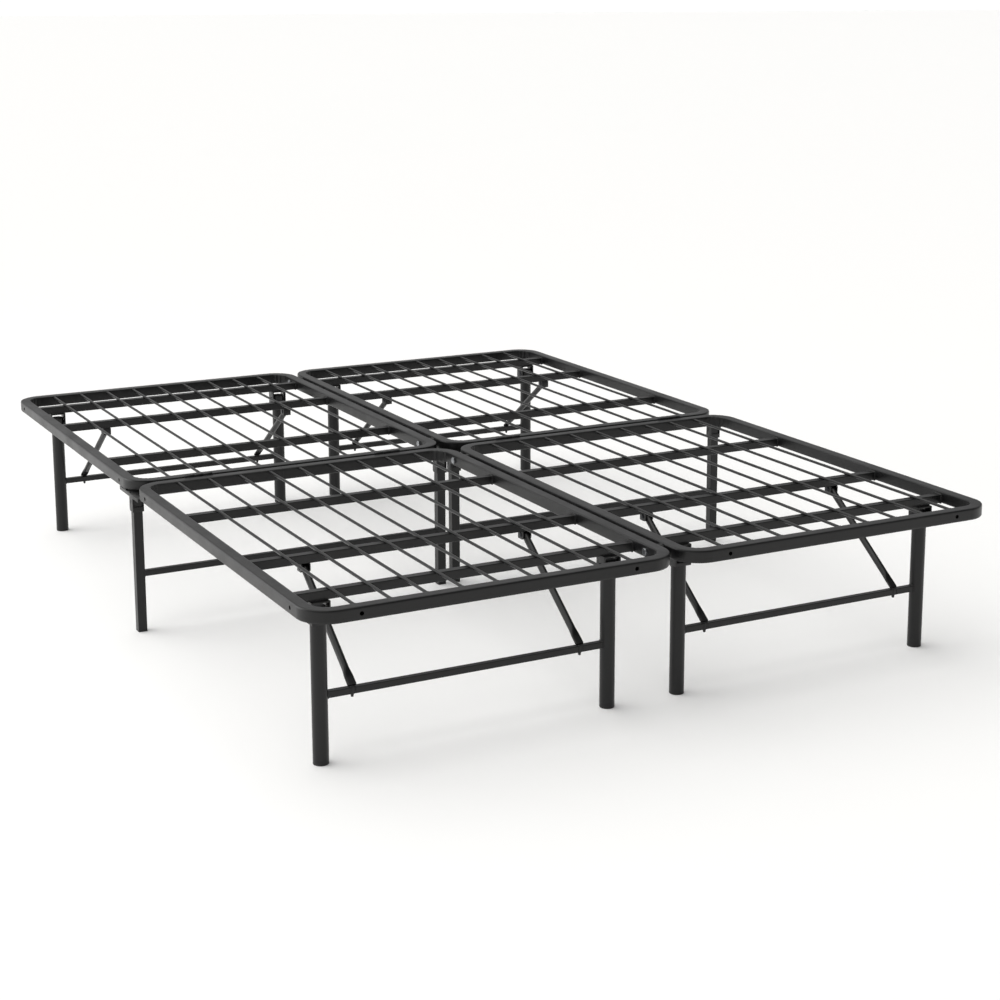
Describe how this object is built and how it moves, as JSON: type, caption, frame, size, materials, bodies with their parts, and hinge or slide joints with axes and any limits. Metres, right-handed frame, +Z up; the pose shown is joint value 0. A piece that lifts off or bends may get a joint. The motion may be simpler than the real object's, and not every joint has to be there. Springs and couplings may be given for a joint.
{
  "type": "folding platform bed frame",
  "caption": "Folding steel platform bed frame in two hinged halves, with wire deck, folding tube legs, cross bars and locking braces.",
  "frame": {"origin": "on the floor under the middle of the unfolded bed", "axes": "+X across the bed, +Y from the foot end to the head end, +Z up"},
  "size_m": [1.511, 2.019, 0.3392],
  "materials": {
    "frame_paint": "satin black powder coat",
    "cap_plastic": "moulded black plastic",
    "rivet_steel": "dark zinc",
    "bolt_steel": "bright zinc",
    "spacer_plastic": "moulded black plastic"
  },
  "bodies": {
    "foot_deck": {"foot_left_rim": "frame_paint", "foot_left_cross_tubes": "frame_paint", "foot_left_deck_wires": "frame_paint", "foot_right_rim": "frame_paint", "foot_right_cross_tubes": "frame_paint", "foot_right_deck_wires": "frame_paint", "foot_leg_brackets": "frame_paint", "foot_leg_pins": "rivet_steel", "foot_brace_brackets": "frame_paint", "foot_brace_pins": "rivet_steel", "foot_hinge_leaves": "frame_paint", "foot_joining_bolts": "bolt_steel", "foot_joining_nuts": "bolt_steel", "foot_spacers": "spacer_plastic", "hinge_pins": "rivet_steel"},
    "head_deck": {"head_left_rim": "frame_paint", "head_left_cross_tubes": "frame_paint", "head_left_deck_wires": "frame_paint", "head_right_rim": "frame_paint", "head_right_cross_tubes": "frame_paint", "head_right_deck_wires": "frame_paint", "head_leg_brackets": "frame_paint", "head_leg_pins": "rivet_steel", "head_brace_brackets": "frame_paint", "head_brace_pins": "rivet_steel", "head_hinge_leaves": "frame_paint", "head_joining_bolts": "bolt_steel", "head_joining_nuts": "bolt_steel", "head_spacers": "spacer_plastic", "mid_leg_brackets": "frame_paint", "mid_leg_pins": "rivet_steel"},
    "foot_left_leg_frame": {"foot_left_legs": "frame_paint", "foot_left_leg_caps": "cap_plastic", "foot_left_cross_bar": "frame_paint"},
    "foot_left_outer_brace": {"foot_left_outer_brace": "frame_paint"},
    "foot_left_inner_brace": {"foot_left_inner_brace": "frame_paint"},
    "foot_right_leg_frame": {"foot_right_legs": "frame_paint", "foot_right_leg_caps": "cap_plastic", "foot_right_cross_bar": "frame_paint"},
    "foot_right_outer_brace": {"foot_right_outer_brace": "frame_paint"},
    "foot_right_inner_brace": {"foot_right_inner_brace": "frame_paint"},
    "head_left_leg_frame": {"head_left_legs": "frame_paint", "head_left_leg_caps": "cap_plastic", "head_left_cross_bar": "frame_paint"},
    "head_left_outer_brace": {"head_left_outer_brace": "frame_paint"},
    "head_left_inner_brace": {"head_left_inner_brace": "frame_paint"},
    "head_right_leg_frame": {"head_right_legs": "frame_paint", "head_right_leg_caps": "cap_plastic", "head_right_cross_bar": "frame_paint"},
    "head_right_outer_brace": {"head_right_outer_brace": "frame_paint"},
    "head_right_inner_brace": {"head_right_inner_brace": "frame_paint"},
    "mid_left_leg_frame": {"mid_left_legs": "frame_paint", "mid_left_leg_caps": "cap_plastic", "mid_left_cross_bar": "frame_paint"},
    "mid_right_leg_frame": {"mid_right_legs": "frame_paint", "mid_right_leg_caps": "cap_plastic", "mid_right_cross_bar": "frame_paint"}
  },
  "joints": [
    {"name": "deck_fold", "type": "hinge", "parent": "foot_deck", "child": "head_deck", "pos_m": [0, 0, 0.335], "axis": [1, 0, 0], "range_deg": [0, 176]},
    {"name": "foot_left_leg_fold", "type": "hinge", "parent": "foot_deck", "child": "foot_left_leg_frame", "pos_m": [-0.38075, -0.8645, 0.28699], "axis": [1, 0, 0], "range_deg": [0, 90]},
    {"name": "foot_left_outer_brace_swing", "type": "hinge", "parent": "foot_deck", "child": "foot_left_outer_brace", "pos_m": [-0.618, -0.6425, 0.3023], "axis": [1, 0, 0], "range_deg": [-37, 0]},
    {"name": "foot_left_inner_brace_swing", "type": "hinge", "parent": "foot_deck", "child": "foot_left_inner_brace", "pos_m": [-0.1435, -0.6425, 0.3023], "axis": [1, 0, 0], "range_deg": [-37, 0]},
    {"name": "foot_right_leg_fold", "type": "hinge", "parent": "foot_deck", "child": "foot_right_leg_frame", "pos_m": [0.38075, -0.8645, 0.28699], "axis": [1, 0, 0], "range_deg": [0, 90]},
    {"name": "foot_right_outer_brace_swing", "type": "hinge", "parent": "foot_deck", "child": "foot_right_outer_brace", "pos_m": [0.618, -0.6425, 0.3023], "axis": [1, 0, 0], "range_deg": [-37, 0]},
    {"name": "foot_right_inner_brace_swing", "type": "hinge", "parent": "foot_deck", "child": "foot_right_inner_brace", "pos_m": [0.1435, -0.6425, 0.3023], "axis": [1, 0, 0], "range_deg": [-37, 0]},
    {"name": "head_left_leg_fold", "type": "hinge", "parent": "head_deck", "child": "head_left_leg_frame", "pos_m": [-0.38075, 0.8895, 0.28699], "axis": [-1, 0, 0], "range_deg": [0, 90]},
    {"name": "head_left_outer_brace_swing", "type": "hinge", "parent": "head_deck", "child": "head_left_outer_brace", "pos_m": [-0.618, 0.6675, 0.3023], "axis": [-1, 0, 0], "range_deg": [-37, 0]},
    {"name": "head_left_inner_brace_swing", "type": "hinge", "parent": "head_deck", "child": "head_left_inner_brace", "pos_m": [-0.1435, 0.6675, 0.3023], "axis": [-1, 0, 0], "range_deg": [-37, 0]},
    {"name": "head_right_leg_fold", "type": "hinge", "parent": "head_deck", "child": "head_right_leg_frame", "pos_m": [0.38075, 0.8895, 0.28699], "axis": [-1, 0, 0], "range_deg": [0, 90]},
    {"name": "head_right_outer_brace_swing", "type": "hinge", "parent": "head_deck", "child": "head_right_outer_brace", "pos_m": [0.618, 0.6675, 0.3023], "axis": [-1, 0, 0], "range_deg": [-37, 0]},
    {"name": "head_right_inner_brace_swing", "type": "hinge", "parent": "head_deck", "child": "head_right_inner_brace", "pos_m": [0.1435, 0.6675, 0.3023], "axis": [-1, 0, 0], "range_deg": [-37, 0]},
    {"name": "mid_left_leg_fold", "type": "hinge", "parent": "head_deck", "child": "mid_left_leg_frame", "pos_m": [-0.38075, 0.01, 0.29299], "axis": [1, 0, 0], "range_deg": [0, 90]},
    {"name": "mid_right_leg_fold", "type": "hinge", "parent": "head_deck", "child": "mid_right_leg_frame", "pos_m": [0.38075, 0.01, 0.29299], "axis": [1, 0, 0], "range_deg": [0, 90]}
  ],
  "couplings": [
    {"joint": "foot_left_outer_brace_swing", "follows": "foot_left_leg_fold", "ratio": -0.40103},
    {"joint": "foot_left_inner_brace_swing", "follows": "foot_left_leg_fold", "ratio": -0.40103},
    {"joint": "foot_right_outer_brace_swing", "follows": "foot_right_leg_fold", "ratio": -0.40103},
    {"joint": "foot_right_inner_brace_swing", "follows": "foot_right_leg_fold", "ratio": -0.40103},
    {"joint": "head_left_outer_brace_swing", "follows": "head_left_leg_fold", "ratio": -0.40103},
    {"joint": "head_left_inner_brace_swing", "follows": "head_left_leg_fold", "ratio": -0.40103},
    {"joint": "head_right_outer_brace_swing", "follows": "head_right_leg_fold", "ratio": -0.40103},
    {"joint": "head_right_inner_brace_swing", "follows": "head_right_leg_fold", "ratio": -0.40103}
  ]
}
